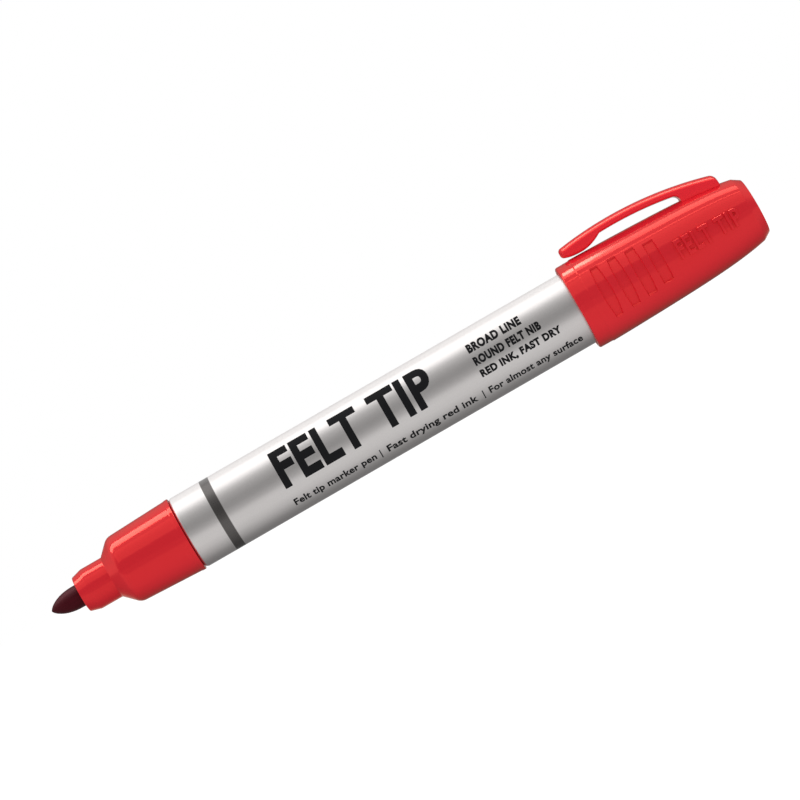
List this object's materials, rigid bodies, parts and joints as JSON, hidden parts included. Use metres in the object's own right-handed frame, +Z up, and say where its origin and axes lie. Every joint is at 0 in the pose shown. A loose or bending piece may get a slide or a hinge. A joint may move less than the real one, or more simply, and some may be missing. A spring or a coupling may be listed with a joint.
{
  "type": "felt tip marker",
  "caption": "Slim felt tip marker with a satin metal barrel, a bullet nib in a stepped nose and a cap with a pocket clip posted on its rear.",
  "frame": {"origin": "on the axis at the middle of the bare stretch of barrel, between the nose and the posted cap", "axes": "+X along the axis from the nib to the closed end of the cap, +Z up through the pocket clip"},
  "size_m": [0.1405, 0.016, 0.0192],
  "materials": {
    "red_plastic": "semi-gloss moulded plastic, red",
    "satin_aluminium": "fine satin, bare",
    "nib_fibre": "dense bonded fibre soaked in dark red ink",
    "reservoir_fibre": "lengthwise fibre bundle soaked in red ink",
    "clear_film": "thin clear film",
    "natural_plastic": "natural translucent polyethylene"
  },
  "bodies": {
    "barrel": {"barrel": "satin_aluminium", "nose_section": "red_plastic", "bullet_nib": "nib_fibre", "ink_reservoir": "reservoir_fibre", "reservoir_wrap": "clear_film", "breather_tube": "natural_plastic"},
    "cap": {"cap_shell": "red_plastic", "cap_liner": "natural_plastic"},
    "clip": {"pocket_clip": "red_plastic"}
  },
  "joints": [
    {"name": "cap_slide", "type": "slide", "parent": "barrel", "child": "cap", "axis": [1, 0, 0], "range_m": [0, 0.04]},
    {"name": "clip_flex", "type": "hinge", "parent": "cap", "child": "clip", "pos_m": [0.0634, 0, 0.00924], "axis": [0, 1, 0], "range_deg": [0, 7], "stiffness_Nm_per_rad": 0.35}
  ]
}
